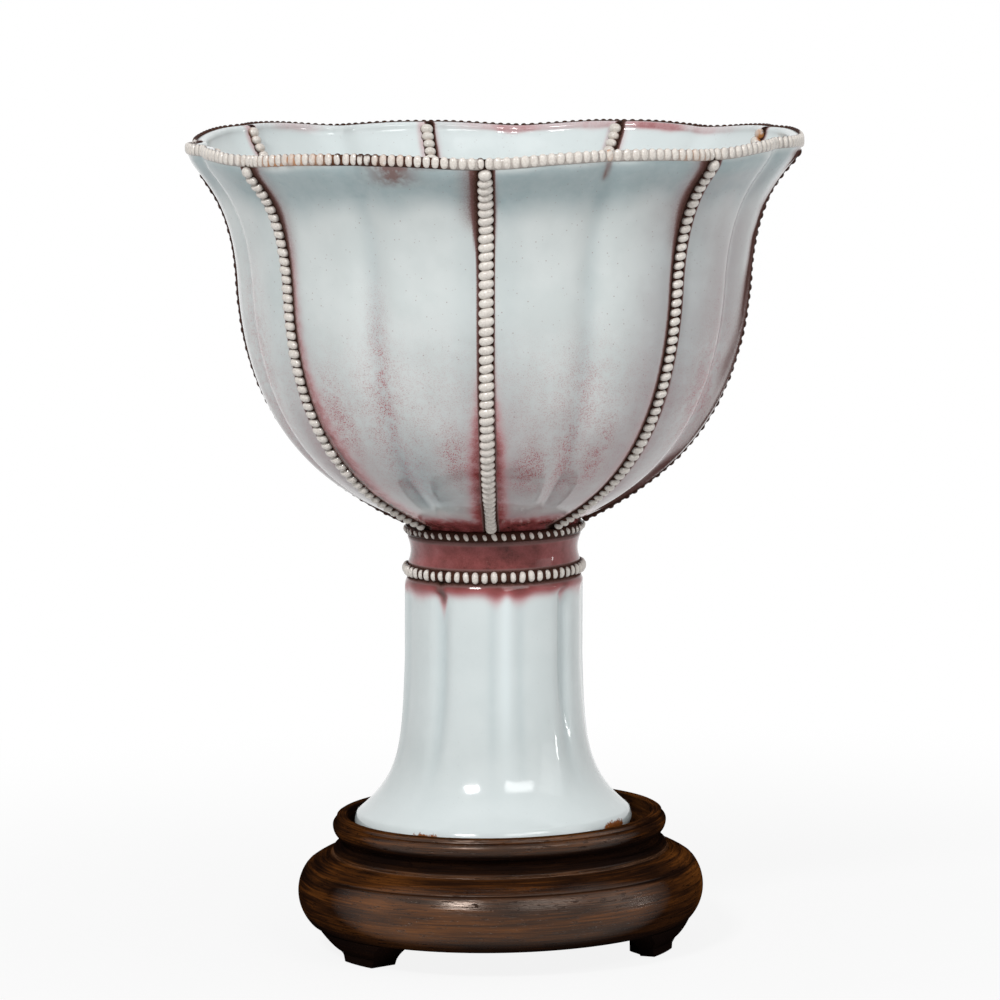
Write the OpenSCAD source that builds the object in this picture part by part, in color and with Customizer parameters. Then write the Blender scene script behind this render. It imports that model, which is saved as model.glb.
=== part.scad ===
// Stem cup of pale blue glazed porcelain with beaded ribs, on its turned hardwood stand.
// Millimetres, +Z up, front towards -Y. The middle of the rim lies over the origin and the ground is Z = 0.
// Angles round the cup start at the front and grow towards +X.

/* [Cup heights above its own foot] */
// Height of the cup to the top of its rim beads
cup_h = 120.5; // [112:0.5:130]
// Height where the bowl's wall stands nearly upright
belly_z = 96; // [90:1:102]
// Height of the top of the stem, where the bowl is luted on
joint_z = 52.6; // [51.6:0.1:55]
// Height of the middle of the narrow collar
waist_z = 48.7; // [47.6:0.1:49.4]
// Height of the beaded ring below the collar
stem_ring_z = 45.6; // [43:0.1:46]
// Height where the stem stops being straight and starts to flare
flare_z = 30; // [24:1:34]
// Height of the foot's rounded edge
foot_edge_h = 3; // [2:0.1:4]

/* [Cup radii] */
// Outer radius of the rim's edge
rim_r = 53; // [48:0.2:58]
// Outer radius of the bowl where its wall stands upright
belly_r = 44.4; // [41:0.2:46.6]
// Radius of the round band at the top of the stem and the base of the bowl
collar_r = 15; // [13:0.1:16]
// Radius of the collar at its narrowest
waist_r = 14.5; // [12.6:0.1:15]
// Radius of the straight part of the stem, over its ridges
stem_r = 15.6; // [13.5:0.1:17]
// Radius of the foot at its widest
foot_r = 24.2; // [20:0.1:26]
// Wall of the bowl
wall = 2.2; // [1.8:0.1:3]
// Wall of the stem
stem_wall = 4; // [3:0.1:5]
// Radial width of the foot's flat standing ring
foot_ring_w = 2.6; // [2:0.1:4]
// Thickness of the slip that lutes bowl and stem together
slip_h = 0.8; // [0.4:0.1:1.5]

/* [Stem curve] */
// How far the stem still stands out where its flare begins to turn
sweep_out = 0.5; // [0.2:0.1:1]
// Height above the foot's edge where the flare is steepest
sweep_low = 6; // [4:0.5:8]
// Height above the foot's edge where the flare has almost gone
sweep_high = 12.5; // [10:0.5:16]
// Height where the hollow inside the stem starts to widen
bore_z = 14; // [10:0.5:18]

/* [Bowl curve] */
// How steeply the wall leaves the collar, in degrees above level
base_rise = 24; // [15:1:30]
// How far the wall follows that rise
base_pull = 11.6; // [8:0.2:15]
// How far the belly's wall leans outward from upright, in degrees
belly_lean = 3.5; // [1:0.1:7]
// How far the wall follows that lean below the belly
belly_pull = 29.5; // [18:0.5:32]
// How far the wall follows that lean above the belly, before the rim flares
flare_pull = 17.5; // [10:0.5:19]
// Height of the upright edge that ends the flare
lip_pull = 4.4; // [2:0.2:7]

/* [Lobes and lean] */
// How far the hand-joined cup leans sideways, in degrees
cup_lean = 1.3; // [0:0.1:2]
// Depth of the clefts that hold the beaded ribs
rib_cleft = 1; // [0.4:0.1:1.6]
// Depth of the plain grooves between them
groove_cleft = 1.2; // [0.4:0.1:1.8]
// Half width of a cleft, in degrees
cleft_w = 3.6; // [2.5:0.1:5]
// How far the rim dips above each rib
rim_dip = 0.8; // [0:0.1:2]
// Half width of a dip, in degrees
dip_w = 11; // [6:1:15]
// How far the uneven rim rises at its back left
rim_rise = 1.6; // [0:0.1:2]
// Half width of that rise, in degrees
rise_w = 34; // [20:1:45]
// Depth of the stem's clefts
stem_cleft = 0.9; // [0.3:0.1:1.5]
// Half width of a stem cleft or ridge, in degrees
stem_cleft_w = 6; // [4:0.5:9]
// Height of the ridges between the stem's clefts
stem_ridge = 0.5; // [0:0.1:1]
// Where the first stem ridge lies, in degrees from the front
stem_turn = 8; // [0:1:89]

/* [Beads] */
// Radius of the beads on the ribs
rib_bead_r = 1; // [0.85:0.05:1.2]
// Spacing of the beads along a rib
rib_pitch = 1.6; // [1.4:0.05:1.65]
// Radius of the beads on the rim
rim_bead_r = 0.95; // [0.85:0.05:1.1]
// Spacing of the beads round the rim
rim_pitch = 1.58; // [1.3:0.02:1.6]
// Radius of the beads in the two rings at the collar
ring_bead_r = 0.95; // [0.85:0.05:1.1]
// Spacing of the beads round the collar
ring_pitch = 1.6; // [1.3:0.05:1.6]
// How far the middle of a bead stands above the wall that it is pressed on
bead_lift = 0.3; // [0:0.05:0.5]
// Room between the collar and the flat backs of the beads round it
ring_fit = 0.03; // [0.01:0.01:0.1]

/* [Stand] */
// How far the stand's axis lies from the foot's, as the cup stands in the roomy recess
stand_shift = 1.1; // [0:0.1:1.5]
// Height of the stand to the top of its lip
stand_h = 23.3; // [21.5:0.1:28]
// Depth of the recess that the foot stands in
recess_h = 2.6; // [1:0.1:3]
// Room round the foot in the recess
recess_room = 2.4; // [1.8:0.1:4]
// Radial width of the lip's flat top
lip_top_w = 2; // [1.2:0.1:2.5]
// Height of the lip's flat top above its rounded moulding
lip_top_h = 0.5; // [0.3:0.1:1]
// Radius of the lip's rounded moulding
lip_round = 1.75; // [1.4:0.05:2]
// How far that moulding stands out past the flat top
lip_out = 0.5; // [0.2:0.1:1]
// Height of the narrow neck under the moulding
neck_h = 1.3; // [0.4:0.1:1.4]
// Radius of the thin ring under the lip
step_round = 0.8; // [0.5:0.05:1]
// Outer radius of the drum
drum_r = 35.4; // [33.4:0.2:40]
// Radius of the drum's rounded side
drum_round = 7.4; // [7:0.1:8.2]
// Height of the drum's widest line above the ground
drum_z = 9.9; // [9.4:0.1:10.6]
// Height of the incised line round the drum's shoulder
score_z = 14.4; // [13.8:0.1:14.8]
// Radius of the incised line's groove
score_round = 0.25; // [0.15:0.05:0.4]

/* [Stand feet] */
// Height of the feet below the drum
foot_h = 4.7; // [4:0.1:5.4]
// Outer radius of a foot at the ground
pad_r = 30.8; // [28:0.1:31.5]
// Height of the upright face at the bottom of a foot
pad_h = 1.5; // [0.8:0.1:2]
// How far a foot reaches inward
pad_deep = 6.5; // [4:0.5:9]
// Width of a foot at the ground
pad_w = 11; // [8:0.5:16]
// How much wider a foot is where it meets the drum, on each side
pad_spread = 3.5; // [2:0.5:5]
// Where the first foot stands, in degrees from the front
pad_turn = -54; // [-60:1:60]

/* [Hidden] */
// Where the eight beaded ribs stand, spaced by eye as the potter did
rib_angles = [-53, -2, 44, 87, 133, 175, 214, 266];
ribs = len(rib_angles);
// Where the rim rises
rise_at = 235;
stem_lobes = 4;
pads = 3;

glaze = [0.82, 0.87, 0.88];
bead_glaze = [0.88, 0.86, 0.82];
slip_clay = [0.75, 0.70, 0.64];
dark_wood = [0.28, 0.15, 0.09];

$fn = 48;

// Fineness of the lobed walls: rows up each of the bowl's two curves, and columns between cleft and groove
curve_rows = 8;
rows = 2 * curve_rows;
half_columns = 6;
lobe_columns = 2 * half_columns;
seat_columns = 2;
stem_rows = 10;
edge_rows = 4;
// How much closer the columns crowd in the clefts
crowding = 0.07;

seat_z = stand_h - recess_h;
bowl_z = joint_z + slip_h;
lip_z = cup_h - rim_bead_r - bead_lift;
base_band_h = 0.6;
floor_dip = 0.5;
bore_r = collar_r - stem_wall;

// Plain helpers. A place on the cup is given round its leaning axis, at a height above the cup's foot.
function axis_x(z) = (z - lip_z) * tan(cup_lean);
function polar(r, a, z) = [axis_x(z) + r * sin(a), -r * cos(a), z];
function turn(a, b) = a - b - 360 * round((a - b) / 360);
function hollow_at(a, at, width) = exp(-pow(turn(a, at) / width, 2));
function sum(list) = list * [for (each_value = list) 1];
function smooth(x) = let (c = min(max(x, 0), 1)) c * c * (3 - 2 * c);
function bezier(p, t) =
    pow(1 - t, 3) * p[0] + 3 * pow(1 - t, 2) * t * p[1] + 3 * (1 - t) * t * t * p[2] + pow(t, 3) * p[3];
function bezier_way(p, t) =
    pow(1 - t, 2) * (p[1] - p[0]) + 2 * (1 - t) * t * (p[2] - p[1]) + t * t * (p[3] - p[2]);
function crowded(i, n) = i / n - crowding * sin(360 * i / n);

// The bowl's outer profile, from collar to belly for t below 1 and from belly to rim above it
belly_way = [sin(belly_lean), cos(belly_lean)];
base_point = [collar_r, bowl_z + base_band_h];
belly_point = [belly_r, belly_z];
rim_point = [rim_r, lip_z];
low_curve = [
    base_point,
    base_point + base_pull * [cos(base_rise), sin(base_rise)],
    belly_point - belly_pull * belly_way,
    belly_point
];
high_curve = [belly_point, belly_point + flare_pull * belly_way, rim_point - [0, lip_pull], rim_point];
function profile(t) = t < 1 ? bezier(low_curve, t) : bezier(high_curve, t - 1);
function profile_way(t) = t < 1 ? bezier_way(low_curve, t) : bezier_way(high_curve, t - 1);
function profile_out(t) = let (w = profile_way(t)) [w[1], -w[0]] / norm(w);

// Clefts and grooves round the bowl
function rib_at(k) = rib_angles[k % ribs] + 360 * floor(k / ribs);
function groove_at(k) = (rib_at(k) + rib_at(k + 1)) / 2;
function dent(a) =
    rib_cleft * sum([for (k = [0:ribs - 1]) hollow_at(a, rib_at(k), cleft_w)])
    + groove_cleft * sum([for (k = [0:ribs - 1]) hollow_at(a, groove_at(k), cleft_w)]);
function dip(a) =
    rim_dip * sum([for (k = [0:ribs - 1]) hollow_at(a, rib_at(k), dip_w)])
    - rim_rise * hollow_at(a, rise_at, rise_w);
// The clefts fade out towards the round base, and the dips belong to the rim alone
dent_full_t = 0.3;
dip_start_t = 1.4;
function dent_share(t) = smooth(t / dent_full_t) * min((1 + profile(t)[0] / belly_r) / 2, 1);
function dip_share(t) = smooth((t - dip_start_t) / (2 - dip_start_t));

bowl_angles = [
    for (k = [0:ribs - 1])
        for (half = [[rib_at(k), groove_at(k)], [groove_at(k), rib_at(k + 1)]])
            for (i = [0:half_columns - 1])
                half[0] + (half[1] - half[0]) * crowded(i, half_columns)
];
bowl_columns = len(bowl_angles);
dents = [for (a = bowl_angles) dent(a)];
dips = [for (a = bowl_angles) dip(a)];
function column(j) = (j + bowl_columns) % bowl_columns;
function row_t(i) = i / curve_rows;

// Radius and height of the bowl's wall, inside or outside, at row i of column j
function wall_place(i, j, inside) =
    let (t = row_t(i), flat = profile(t) - (inside ? wall : 0) * profile_out(t))
        [flat[0] - dents[column(j)] * dent_share(t), flat[1] - dips[column(j)] * dip_share(t)];
function wall_at(i, j, inside) =
    let (p = wall_place(i, j, inside)) polar(p[0], bowl_angles[column(j)], p[1]);

// A closed solid through rings of points that all have the same count
module ringed_solid(rings) {
    n = len(rings[0]);
    last = len(rings) - 1;
    sides = [
        for (i = [0:last - 1])
            for (j = [0:n - 1])
                let (a = i * n + j, b = i * n + (j + 1) % n)
                    each [[a, a + n, b + n], [a, b + n, b]]
    ];
    ends = [[for (j = [0:n - 1]) j], [for (j = [n - 1:-1:0]) last * n + j]];
    polyhedron(points = [for (ring = rings) each ring], faces = concat(sides, ends));
}

// A closed hoop through sections round the axis, the last joined to the first
module hoop_solid(sections) {
    n = len(sections[0]);
    m = len(sections);
    faces = [
        for (i = [0:m - 1])
            for (j = [0:n - 1])
                let (
                    a = i * n + j,
                    b = i * n + (j + 1) % n,
                    c = (i + 1) % m * n + j,
                    d = (i + 1) % m * n + (j + 1) % n
                )
                    each [[a, d, c], [a, b, d]]
    ];
    polyhedron(points = [for (section = sections) each section], faces = faces);
}

module on_stand() {
    translate([0, 0, seat_z]) children();
}

// The lobed bowl, from its flat base up the outside, over the rim and down the inside
module bowl() {
    floor_edge = wall_place(0, 0, true);
    color(glaze) on_stand() ringed_solid(concat(
        [[for (a = bowl_angles) polar(collar_r, a, bowl_z)]],
        [for (i = [0:rows]) [for (j = [0:bowl_columns - 1]) wall_at(i, j, false)]],
        [for (i = [rows:-1:0]) [for (j = [0:bowl_columns - 1]) wall_at(i, j, true)]],
        [[for (a = bowl_angles) polar(floor_edge[0] / 2, a, floor_edge[1] - floor_dip)]]
    ));
}

// The stem's outside from the foot up: rounded foot edge, flare, straight shaft, ring band, collar
foot_round = foot_edge_h / 2;
foot_ring_r = foot_r - foot_round;
flare_curve = [
    [foot_r - foot_round / 4, foot_edge_h],
    [stem_r + sweep_out, foot_edge_h + sweep_low],
    [stem_r + sweep_out, foot_edge_h + sweep_high],
    [stem_r, flare_z]
];
shaft_top_z = stem_ring_z - 3 * ring_bead_r;
collar_low = stem_ring_z + ring_bead_r;
collar_high = joint_z - 1.5 * ring_bead_r;
stem_outline = concat(
    [for (i = [0:edge_rows - 1])
        let (a = -90 + 120 * i / edge_rows)
            [foot_ring_r + foot_round * cos(a), foot_round + foot_round * sin(a)]],
    [for (i = [0:stem_rows]) bezier(flare_curve, i / stem_rows)],
    [
        [stem_r, shaft_top_z],
        [collar_r, stem_ring_z - ring_bead_r],
        [collar_r, collar_low],
        [waist_r + (collar_r - waist_r) / 4, (collar_low + waist_z) / 2],
        [waist_r, waist_z],
        [waist_r + (collar_r - waist_r) / 4, (collar_high + waist_z) / 2],
        [collar_r, collar_high],
        [collar_r, joint_z]
    ]
);
stem_bore = [
    [bore_r, joint_z],
    [bore_r, bore_z],
    [foot_ring_r - foot_ring_w, foot_edge_h],
    [foot_ring_r - foot_ring_w, 0]
];
// Clefts and ridges take turns round the stem
lobe_turn = 360 / stem_lobes;
stem_angles = [
    for (k = [0:2 * stem_lobes - 1])
        for (i = [0:half_columns - 1])
            stem_turn + (k + crowded(i, half_columns)) * lobe_turn / 2
];
function stem_lines(a, first) =
    sum([for (k = [0:stem_lobes - 1]) hollow_at(a, first + k * lobe_turn, stem_cleft_w)]);
function stem_dent(a, z) =
    smooth((z - foot_edge_h) / (flare_z - foot_edge_h))
    * smooth((shaft_top_z + ring_bead_r - z) / (2 * ring_bead_r))
    * (stem_cleft * stem_lines(a, stem_turn + lobe_turn / 2) + stem_ridge * (1 - stem_lines(a, stem_turn)));

// The hollow lobed stem with its round foot
module stem() {
    color(glaze) on_stand() hoop_solid([
        for (a = stem_angles)
            concat(
                [for (p = stem_outline) polar(p[0] - stem_dent(a, p[1]), a, p[1])],
                [for (p = stem_bore) polar(p[0], a, p[1])]
            )
    ]);
}

// The clay slip between the stem's top and the bowl's base
module luting_slip() {
    color(slip_clay) on_stand() translate([axis_x(joint_z + slip_h / 2), 0, joint_z]) difference() {
        cylinder(h = slip_h, r = collar_r);
        translate([0, 0, -slip_h]) cylinder(h = 3 * slip_h, r = bore_r);
    }
}

// Beads along one column of the bowl's wall, set out evenly by length between the two gaps.
// Every bead is turned so that its poles lie along its row, inside the beads next to it.
module bead_row(j, inside, low_gap, high_gap) {
    path = [for (i = [0:rows]) wall_place(i, j, inside)];
    along = [
        for (i = 0, s = 0; i <= rows; s = s + (i < rows ? norm(path[i + 1] - path[i]) : 0), i = i + 1) s
    ];
    run = along[rows] - low_gap - high_gap;
    count = ceil(run / rib_pitch);
    side = inside ? -1 : 1;
    for (b = [0:count]) {
        s = low_gap + run * b / count;
        t = lookup(s, [for (i = [0:rows]) [along[i], row_t(i)]]);
        r = lookup(s, [for (i = [0:rows]) [along[i], path[i][0]]]);
        z = lookup(s, [for (i = [0:rows]) [along[i], path[i][1]]]);
        out = side * bead_lift * profile_out(t);
        a = bowl_angles[column(j)];
        way = profile_way(t);
        translate(polar(r + out[0], a, z + out[1])) rotate([atan2(way[0], way[1]), 0, a])
            sphere(r = rib_bead_r);
    }
}

// The strip of wall that a row of beads is pressed on
module wall_strip(j) {
    near = [for (d = [-seat_columns:seat_columns]) j + d];
    ringed_solid([
        for (i = [0:rows])
            concat(
                [for (c = near) wall_at(i, c, false)],
                [for (d = [seat_columns:-1:-seat_columns]) wall_at(i, j + d, true)]
            )
    ]);
}

rib_low_gap = 1.5 * rib_bead_r;
rib_high_gap = rib_bead_r + rim_bead_r;

module outer_rib(k) {
    j = (k - 1) * lobe_columns;
    color(bead_glaze) on_stand() difference() {
        bead_row(j, false, rib_low_gap, rib_high_gap);
        wall_strip(j);
    }
}

module inner_rib(k) {
    j = (k - 1) * lobe_columns + half_columns;
    color(bead_glaze) on_stand() difference() {
        bead_row(j, true, rib_low_gap, rib_high_gap);
        wall_strip(j);
    }
}

// The rim's row of beads over one lobe, from rib to rib, pressed on the lip's top
module rim_beading(k) {
    first = (k - 1) * lobe_columns;
    mid_r = rim_r - rim_bead_r / 2;
    degree = PI * mid_r / 180;
    end_gap = 1.05 * rim_bead_r / degree;
    start = rib_at(k - 1) + end_gap;
    run = rib_at(k) - end_gap - start;
    count = ceil(run * degree / rim_pitch);
    color(bead_glaze) on_stand() difference() {
        for (b = [0:count]) {
            a = start + run * b / count;
            translate(polar(mid_r - dent(a), a, lip_z - dip(a) + bead_lift)) rotate([0, 90, a])
                sphere(r = rim_bead_r);
        }
        ringed_solid([
            for (j = [first - 1:first + lobe_columns + 1])
                [
                    wall_at(rows - 1, j, false),
                    wall_at(rows - 1, j, true),
                    wall_at(rows, j, true),
                    wall_at(rows, j, false)
                ]
        ]);
    }
}

// A ring of beads pressed round a band of the given radius, each with a flat back
module bead_ring(band_r, z) {
    count = ceil(2 * PI * band_r / ring_pitch);
    step = 360 / count;
    corner_r = (band_r + ring_fit) / cos(step / 2);
    difference() {
        for (b = [0:count - 1])
            translate(polar(band_r + bead_lift / 2, b * step, z)) rotate([0, 90, b * step])
                sphere(r = ring_bead_r);
        translate([axis_x(z), 0, z - 2 * ring_bead_r]) linear_extrude(4 * ring_bead_r)
            polygon([for (b = [0:count - 1]) corner_r * [sin((b + 0.5) * step), -cos((b + 0.5) * step)]]);
    }
}

module bowl_base_beading() {
    color(bead_glaze) on_stand() bead_ring(collar_r, joint_z);
}

module stem_beading() {
    color(bead_glaze) on_stand() bead_ring(collar_r, stem_ring_z);
}

// The stand's heights and radii, from the recess outward
stand_x = axis_x(0) + stand_shift;
recess_r = foot_r + recess_room;
lip_r = recess_r + lip_top_w;
moulding_z = stand_h - lip_top_h - lip_round;
moulding_r = lip_r + lip_out - lip_round;
step_z = moulding_z - lip_round - neck_h - step_round;
neck_r = moulding_r;
step_r = lip_r + lip_out - step_round;
drum_mid_r = drum_r - drum_round;
function drum_at(z) = drum_mid_r + sqrt(pow(drum_round, 2) - pow(z - drum_z, 2));
score_r = drum_at(score_z);

// Half of the turned stand's section, without its recess and incised line
module stand_outline() {
    translate([0, foot_h]) square([neck_r, stand_h - lip_top_h - foot_h]);
    translate([0, stand_h - lip_round]) square([lip_r, lip_round]);
    translate([moulding_r, moulding_z]) circle(lip_round);
    translate([step_r, step_z]) circle(step_round);
    polygon([[0, foot_h], [score_r, score_z], [step_r, step_z - step_round / 2], [0, step_z]]);
    intersection() {
        translate([drum_mid_r, drum_z]) circle(drum_round);
        translate([0, foot_h]) square([drum_r, score_z - foot_h]);
    }
    translate([0, foot_h]) square([drum_mid_r, score_z - foot_h]);
}

module stand_body() {
    color(dark_wood) translate([stand_x, 0, 0]) rotate_extrude() difference() {
        stand_outline();
        translate([-recess_r, seat_z]) square([2 * recess_r, 2 * recess_h]);
        translate([score_r, score_z]) circle(score_round);
    }
}

// A bracket foot glued under the drum: it carries on the drum's curve down to an upright face
module stand_foot(k) {
    lift = foot_h - pad_h;
    color(dark_wood) translate([stand_x, 0, 0]) rotate([0, 0, pad_turn + 360 * (k - 1) / pads])
        intersection() {
            rotate_extrude() polygon([
                [pad_r - pad_deep, 0],
                [pad_r, 0],
                [pad_r, pad_h],
                [(pad_r + drum_at(foot_h)) / 2 + lift / 10, pad_h + lift / 3],
                [drum_at(foot_h), foot_h],
                [pad_r - pad_deep, foot_h]
            ]);
            rotate([90, 0, 0]) linear_extrude(2 * drum_r) polygon([
                [-pad_w / 2, 0],
                [pad_w / 2, 0],
                [pad_w / 2 + pad_spread, foot_h],
                [-pad_w / 2 - pad_spread, foot_h]
            ]);
        }
}

bowl();
stem();
luting_slip();
bowl_base_beading();
stem_beading();
for (k = [1:ribs]) rim_beading(k);
for (k = [1:ribs]) outer_rib(k);
for (k = [1:ribs]) inner_rib(k);
stand_body();
for (k = [1:pads]) stand_foot(k);
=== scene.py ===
import math

import bpy
import numpy as np
from mathutils import Euler, Matrix, Vector


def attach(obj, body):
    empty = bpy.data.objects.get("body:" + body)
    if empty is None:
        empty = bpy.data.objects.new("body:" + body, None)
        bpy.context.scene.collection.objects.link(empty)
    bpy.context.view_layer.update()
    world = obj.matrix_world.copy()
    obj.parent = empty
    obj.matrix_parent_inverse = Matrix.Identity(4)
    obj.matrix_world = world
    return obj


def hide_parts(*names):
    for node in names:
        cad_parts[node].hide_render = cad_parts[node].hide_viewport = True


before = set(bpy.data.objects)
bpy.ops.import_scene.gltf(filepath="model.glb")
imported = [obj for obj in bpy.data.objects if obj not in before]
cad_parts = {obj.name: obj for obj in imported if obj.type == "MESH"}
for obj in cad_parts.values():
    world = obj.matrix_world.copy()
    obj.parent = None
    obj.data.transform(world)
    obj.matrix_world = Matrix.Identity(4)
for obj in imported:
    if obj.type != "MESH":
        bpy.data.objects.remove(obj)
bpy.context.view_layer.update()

MM = 0.001
SEED = 11

# Sizes of the cup, in mm above its own foot, as the part's source gives them.
CUP_H, BELLY_Z, JOINT_Z, RING_Z, FLARE_Z, FOOT_EDGE_H = 120.5, 96.0, 52.6, 45.6, 30.0, 3.0
RIM_R, BELLY_R, COLLAR_R, WAIST_R, STEM_R, FOOT_R = 53.0, 44.4, 15.0, 14.5, 15.6, 24.2
WALL, STEM_WALL, FOOT_RING_W, SLIP_H, BASE_BAND_H, FLOOR_DIP = 2.2, 4.0, 2.6, 0.8, 0.6, 0.5
SWEEP_OUT, SWEEP_LOW, SWEEP_HIGH, BORE_Z = 0.5, 6.0, 12.5, 14.0
BASE_RISE, BASE_PULL, BELLY_LEAN, BELLY_PULL, FLARE_PULL, LIP_PULL = 24.0, 11.6, 3.5, 29.5, 17.5, 4.4
CUP_LEAN, RIB_CLEFT, GROOVE_CLEFT, CLEFT_W, RIM_DIP, DIP_W = 1.3, 1.0, 1.2, 3.6, 0.8, 11.0
RIM_RISE, RISE_W, RISE_AT = 1.6, 34.0, 235.0
STEM_CLEFT, STEM_CLEFT_W, STEM_RIDGE, STEM_TURN, STEM_LOBES = 0.9, 6.0, 0.5, 8.0, 4
RIB_ANGLES = np.array([-53.0, -2.0, 44.0, 87.0, 133.0, 175.0, 214.0, 266.0])
RIM_BEAD_R, RING_BEAD_R, BEAD_LIFT = 0.95, 0.95, 0.3
RIB_PITCH, RIM_PITCH, RING_PITCH = 1.6, 1.5, 1.6
DENT_FULL_T, DIP_START_T = 0.3, 1.4

# Sizes of the stand, in mm above the ground.
STAND_SHIFT, STAND_H, RECESS_H, RECESS_ROOM = 1.1, 23.3, 2.6, 2.4
LIP_TOP_W, LIP_TOP_H, LIP_ROUND, LIP_OUT, NECK_H, STEP_ROUND = 2.0, 0.5, 1.75, 0.5, 1.3, 0.8
DRUM_R, DRUM_ROUND, DRUM_Z, SCORE_Z, SCORE_ROUND = 35.4, 7.4, 9.9, 14.4, 0.25
FOOT_H, PADS, PAD_TURN = 4.7, 3, -54.0
PAD_R, PAD_H, PAD_DEEP, PAD_W, PAD_SPREAD = 30.8, 1.5, 6.5, 11.0, 3.5

# How finely the meshes are divided.
BOWL_COLUMNS, BOWL_ROWS, BOWL_INNER_ROWS = 576, 190, 110
STEM_COLUMNS, STAND_COLUMNS = 480, 320
BALL_SEGMENTS, BALL_RINGS, BALL_FULLNESS, RIDGE_SIDES = 16, 10, 0.86, 10
RIB_SAMPLES, RIM_SAMPLES, RING_SAMPLES = 400, 60, 180
PAD_ENDS, PAD_MIDDLE, PAD_FACE = 13, 15, 18

RIBS = len(RIB_ANGLES)
NEXT_RIB = np.roll(RIB_ANGLES, -1) + np.array([0] * (RIBS - 1) + [360])
GROOVE_ANGLES = (RIB_ANGLES + NEXT_RIB) / 2
SEAT_Z = STAND_H - RECESS_H
BOWL_Z = JOINT_Z + SLIP_H
LIP_Z = CUP_H - RIM_BEAD_R - BEAD_LIFT
LEAN = math.tan(math.radians(CUP_LEAN))
STAND_X = STAND_SHIFT - LIP_Z * LEAN
UP = np.array([0.0, 0.0, 1.0])
RNG = np.random.default_rng(SEED)


def jitter(size):
    """A random number up to half of size either way."""
    return size * (RNG.random() - 0.5)


def fading(share):
    """A random number from 1 - share to 1."""
    return 1 - share + share * RNG.random()


def smooth(x):
    c = np.clip(x, 0.0, 1.0)
    return c * c * (3 - 2 * c)


def bell(x, width):
    return np.exp(-((x / width) ** 2))


def turn(a, b):
    """How far angle a lies past angle b, from -180 to 180 degrees."""
    return (a - b + 180.0) % 360.0 - 180.0


def hollow(a, at, width):
    return bell(turn(a, at), width)


def window(x, rise_from, rise_to, fall_from, fall_to):
    """0, then 1 between the rise and the fall, then 0."""
    risen = smooth((x - rise_from) / (rise_to - rise_from))
    return risen * (1 - smooth((x - fall_from) / (fall_to - fall_from)))


def waves(a, *terms):
    """A sum of sines round the cup, each with its size, its count to the turn and its start."""
    return sum(size * np.sin(np.radians(count * a + start)) for size, count, start in terms)


def direction(degrees):
    return np.array([math.cos(math.radians(degrees)), math.sin(math.radians(degrees))])


def bezier(p, t):
    t = np.asarray(t, float)[..., None]
    s = 1 - t
    return s**3 * p[0] + 3 * s**2 * t * p[1] + 3 * s * t**2 * p[2] + t**3 * p[3]


def bezier_way(p, t):
    t = np.asarray(t, float)[..., None]
    return (1 - t) ** 2 * (p[1] - p[0]) + 2 * (1 - t) * t * (p[2] - p[1]) + t**2 * (p[3] - p[2])


def cup_point(r, a, z):
    """A place round the cup's leaning axis, a in degrees from the front, z in mm above the foot."""
    rad = np.radians(a)
    x = (z - LIP_Z) * LEAN + r * np.sin(rad)
    return np.stack(np.broadcast_arrays(x, -r * np.cos(rad), z + SEAT_Z), axis=-1)


def round_axes(a):
    """Directions round the cup and out of it, a degrees from the front."""
    rad = np.radians(a)
    across = np.stack([np.cos(rad), np.sin(rad), 0 * rad], axis=-1)
    return across, np.stack([np.sin(rad), -np.cos(rad), 0 * rad], axis=-1)


# The bowl's profile, from collar to belly for t below 1 and from belly to rim above it.
BELLY_WAY = direction(90 - BELLY_LEAN)
BASE = np.array([COLLAR_R, BOWL_Z + BASE_BAND_H])
BELLY = np.array([BELLY_R, BELLY_Z])
RIM = np.array([RIM_R, LIP_Z])
LOW = [BASE, BASE + BASE_PULL * direction(BASE_RISE), BELLY - BELLY_PULL * BELLY_WAY, BELLY]
HIGH = [BELLY, BELLY + FLARE_PULL * BELLY_WAY, RIM - np.array([0, LIP_PULL]), RIM]


def on_profile(curve, t):
    """A curve's value on the low part of the profile or on the high part."""
    t = np.asarray(t, float)
    low, high = curve(LOW, np.minimum(t, 1)), curve(HIGH, np.maximum(t, 1) - 1)
    return np.where((t < 1)[..., None], low, high)


def profile(t):
    return on_profile(bezier, t)


def profile_way(t):
    w = on_profile(bezier_way, t)
    return w / np.linalg.norm(w, axis=-1, keepdims=True)


def profile_out(t):
    w = profile_way(t)
    return np.stack([w[..., 1], -w[..., 0]], axis=-1)


def dent(a):
    ribs = sum(hollow(a, k, CLEFT_W) for k in RIB_ANGLES)
    grooves = sum(hollow(a, k, CLEFT_W) for k in GROOVE_ANGLES)
    return RIB_CLEFT * ribs + GROOVE_CLEFT * grooves


def dip(a):
    return RIM_DIP * sum(hollow(a, k, DIP_W) for k in RIB_ANGLES) - RIM_RISE * hollow(a, RISE_AT, RISE_W)


def dent_share(t):
    return smooth(np.asarray(t) / DENT_FULL_T) * np.minimum((1 + profile(t)[..., 0] / BELLY_R) / 2, 1)


def dip_share(t):
    return smooth((np.asarray(t) - DIP_START_T) / (2 - DIP_START_T))


def wall_place(t, a, inward):
    """Radius and height of the bowl's wall, inward mm inside its outer face."""
    flat = profile(t) - inward * profile_out(t)
    return flat[..., 0] - dent(a) * dent_share(t), flat[..., 1] - dip(a) * dip_share(t)


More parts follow.
